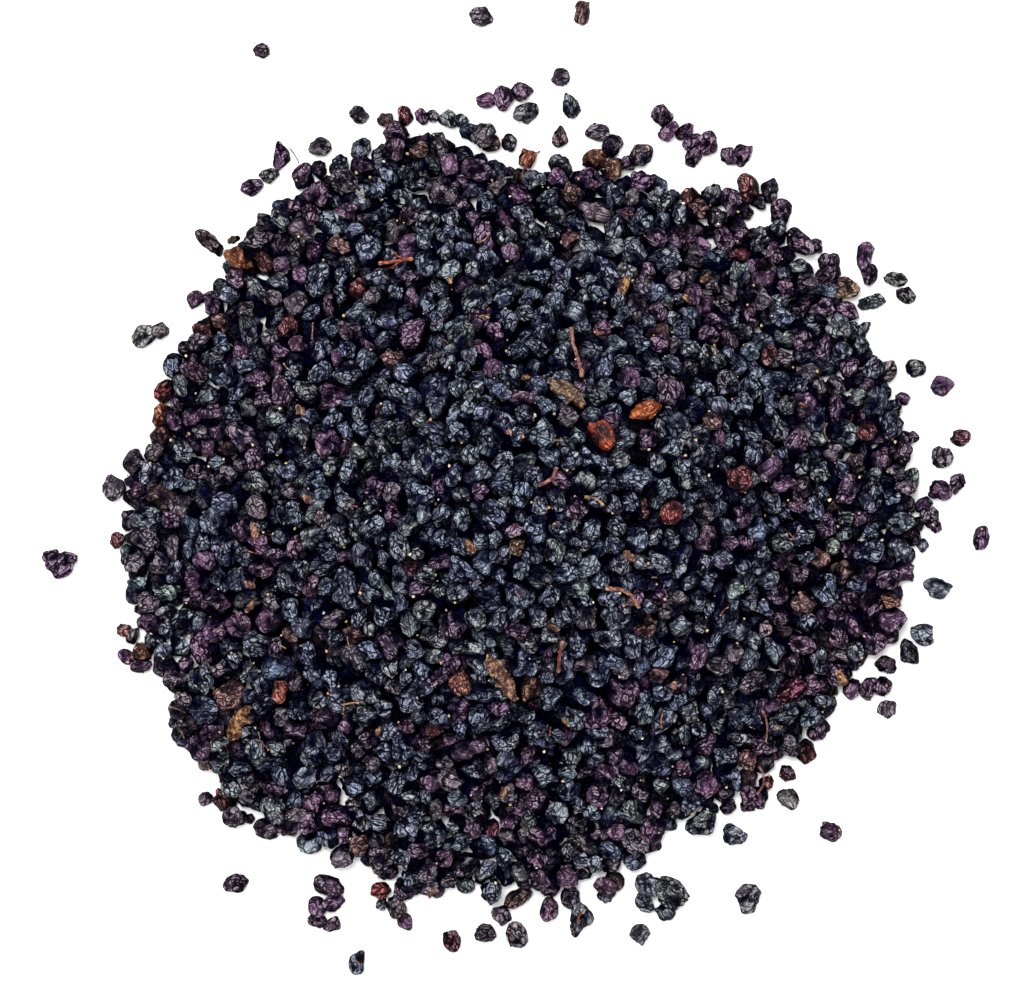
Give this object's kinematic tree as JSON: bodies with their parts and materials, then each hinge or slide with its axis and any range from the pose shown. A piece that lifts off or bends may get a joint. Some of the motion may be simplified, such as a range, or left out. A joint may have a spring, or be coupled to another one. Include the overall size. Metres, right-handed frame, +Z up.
{
  "type": "elderberry cluster",
  "caption": "Heap of dried elderberries, poured out on a flat surface, with loose berries, stalk scraps and husks round and on it.",
  "frame": {"origin": "on the resting surface, under the middle of the heap", "axes": "+Z up from the resting surface; +X to the right and +Y away, seen from above"},
  "size_m": [0.1672, 0.1698, 0.0285],
  "materials": {
    "berry_skin_dark": "satin",
    "berry_skin_purple": "satin",
    "berry_skin_maroon": "satin",
    "berry_skin_red": "satin",
    "berry_skin_orange": "satin",
    "stalk_wood": "matte",
    "husk": "matte"
  },
  "bodies": {
    "root": {"berry_heap": "berry_skin_dark", "bract_1": "husk", "husk_1": "husk", "husk_2": "husk", "loose_berry_01": "berry_skin_purple", "loose_berry_02": "berry_skin_dark", "loose_berry_03": "berry_skin_purple", "loose_berry_04": "berry_skin_dark", "loose_berry_05": "berry_skin_dark", "loose_berry_06": "berry_skin_dark", "loose_berry_09": "berry_skin_dark", "loose_berry_11": "berry_skin_maroon", "loose_berry_12": "berry_skin_dark", "loose_berry_13": "berry_skin_dark", "loose_berry_14": "berry_skin_dark", "loose_berry_15": "berry_skin_purple", "loose_berry_16": "berry_skin_dark", "loose_berry_18": "berry_skin_dark", "loose_berry_19": "berry_skin_maroon", "loose_berry_20": "berry_skin_dark", "loose_berry_21": "berry_skin_dark", "loose_berry_23": "berry_skin_purple", "loose_berry_24": "berry_skin_dark", "loose_berry_25": "berry_skin_dark", "loose_berry_26": "berry_skin_dark", "loose_berry_27": "berry_skin_dark", "loose_berry_29": "berry_skin_maroon", "loose_berry_30": "berry_skin_purple", "loose_berry_31": "berry_skin_dark", "loose_berry_33": "berry_skin_dark", "loose_berry_37": "berry_skin_dark", "loose_berry_38": "berry_skin_dark", "loose_berry_39": "berry_skin_dark", "loose_berry_40": "berry_skin_maroon", "loose_berry_42": "berry_skin_dark", "loose_berry_44": "berry_skin_dark", "loose_clump_07": "berry_skin_maroon", "loose_clump_08": "berry_skin_dark", "loose_clump_10": "berry_skin_purple", "loose_clump_17": "berry_skin_dark", "loose_clump_22": "berry_skin_purple", "loose_clump_28": "berry_skin_purple", "loose_clump_32": "berry_skin_dark", "loose_clump_34": "berry_skin_purple", "loose_clump_35": "berry_skin_purple", "loose_clump_36": "berry_skin_purple", "loose_clump_41": "berry_skin_purple", "loose_clump_43": "berry_skin_purple", "maroon_berry_1": "berry_skin_maroon", "maroon_berry_2": "berry_skin_maroon", "orange_berry_1": "berry_skin_orange", "orange_berry_2": "berry_skin_orange", "red_berry_1": "berry_skin_red", "red_berry_2": "berry_skin_red", "red_berry_3": "berry_skin_red", "stalk_1": "stalk_wood", "stalk_2": "stalk_wood", "stalk_3": "stalk_wood", "stalk_4": "stalk_wood", "stalk_5": "stalk_wood"}
  },
  "joints": []
}
